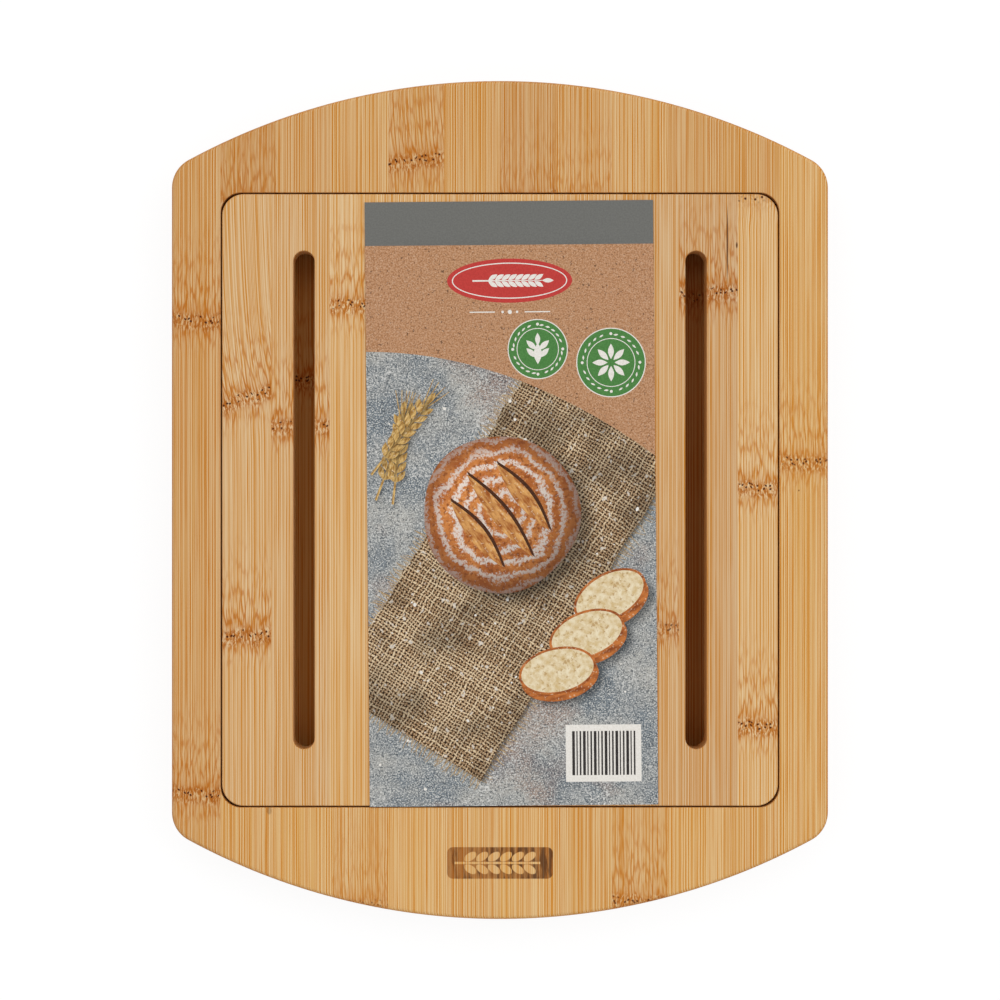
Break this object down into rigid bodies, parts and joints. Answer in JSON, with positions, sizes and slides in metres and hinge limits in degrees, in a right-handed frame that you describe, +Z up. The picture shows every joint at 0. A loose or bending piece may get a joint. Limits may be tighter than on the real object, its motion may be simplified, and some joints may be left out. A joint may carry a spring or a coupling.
{
  "type": "bread board",
  "caption": "Two-piece bamboo bread board: bowed crumb tray with a lift-out slotted cutting insert and a loose card sheet on it.",
  "frame": {"origin": "centre of the tray's underside, on the surface that it stands on", "axes": "+Z up through the board, +Y along the grain towards the head, +X to the right seen from above"},
  "size_m": [0.31, 0.396, 0.0248],
  "materials": {
    "tray_bamboo": "oiled satin",
    "core_bamboo": "oiled satin",
    "insert_bamboo": "oiled satin",
    "card_board": "matt"
  },
  "bodies": {
    "tray": {"tray_base_strip_01": "tray_bamboo", "tray_base_strip_02": "tray_bamboo", "tray_base_strip_03": "tray_bamboo", "tray_base_strip_04": "tray_bamboo", "tray_base_strip_05": "tray_bamboo", "tray_base_strip_06": "tray_bamboo", "tray_base_strip_07": "tray_bamboo", "tray_base_strip_08": "tray_bamboo", "tray_base_strip_09": "tray_bamboo", "tray_base_strip_10": "tray_bamboo", "tray_base_strip_11": "tray_bamboo", "tray_core_block_foot": "core_bamboo", "tray_core_block_head": "core_bamboo", "tray_core_rail_left": "core_bamboo", "tray_core_rail_right": "core_bamboo", "tray_foot_strip_01": "tray_bamboo", "tray_foot_strip_02": "tray_bamboo", "tray_foot_strip_03": "tray_bamboo", "tray_foot_strip_04": "tray_bamboo", "tray_foot_strip_05": "tray_bamboo", "tray_foot_strip_06": "tray_bamboo", "tray_foot_strip_07": "tray_bamboo", "tray_foot_strip_08": "tray_bamboo", "tray_foot_strip_09": "tray_bamboo", "tray_foot_strip_10": "tray_bamboo", "tray_head_strip_01": "tray_bamboo", "tray_head_strip_02": "tray_bamboo", "tray_head_strip_03": "tray_bamboo", "tray_head_strip_04": "tray_bamboo", "tray_head_strip_05": "tray_bamboo", "tray_head_strip_06": "tray_bamboo", "tray_head_strip_07": "tray_bamboo", "tray_head_strip_08": "tray_bamboo", "tray_head_strip_09": "tray_bamboo", "tray_head_strip_10": "tray_bamboo", "tray_side_strip_left": "tray_bamboo", "tray_side_strip_right": "tray_bamboo"},
    "insert": {"insert_backing_strip_01": "insert_bamboo", "insert_backing_strip_02": "insert_bamboo", "insert_backing_strip_03": "insert_bamboo", "insert_backing_strip_04": "insert_bamboo", "insert_backing_strip_05": "insert_bamboo", "insert_backing_strip_06": "insert_bamboo", "insert_backing_strip_07": "insert_bamboo", "insert_backing_strip_08": "insert_bamboo", "insert_backing_strip_09": "insert_bamboo", "insert_backing_strip_10": "insert_bamboo", "insert_backing_strip_11": "insert_bamboo", "insert_face_strip_01": "insert_bamboo", "insert_face_strip_02": "insert_bamboo", "insert_face_strip_03": "insert_bamboo", "insert_face_strip_04": "insert_bamboo", "insert_face_strip_05": "insert_bamboo", "insert_face_strip_06": "insert_bamboo", "insert_face_strip_07": "insert_bamboo", "insert_face_strip_08": "insert_bamboo", "insert_face_strip_09": "insert_bamboo", "insert_face_strip_10": "insert_bamboo"},
    "card": {"card": "card_board"}
  },
  "joints": [
    {"name": "insert_lift", "type": "slide", "parent": "tray", "child": "insert", "axis": [0, 0, 1], "range_m": [0, 0.06]},
    {"name": "card_lift", "type": "slide", "parent": "insert", "child": "card", "axis": [0, 0, 1], "range_m": [0, 0.03]}
  ]
}
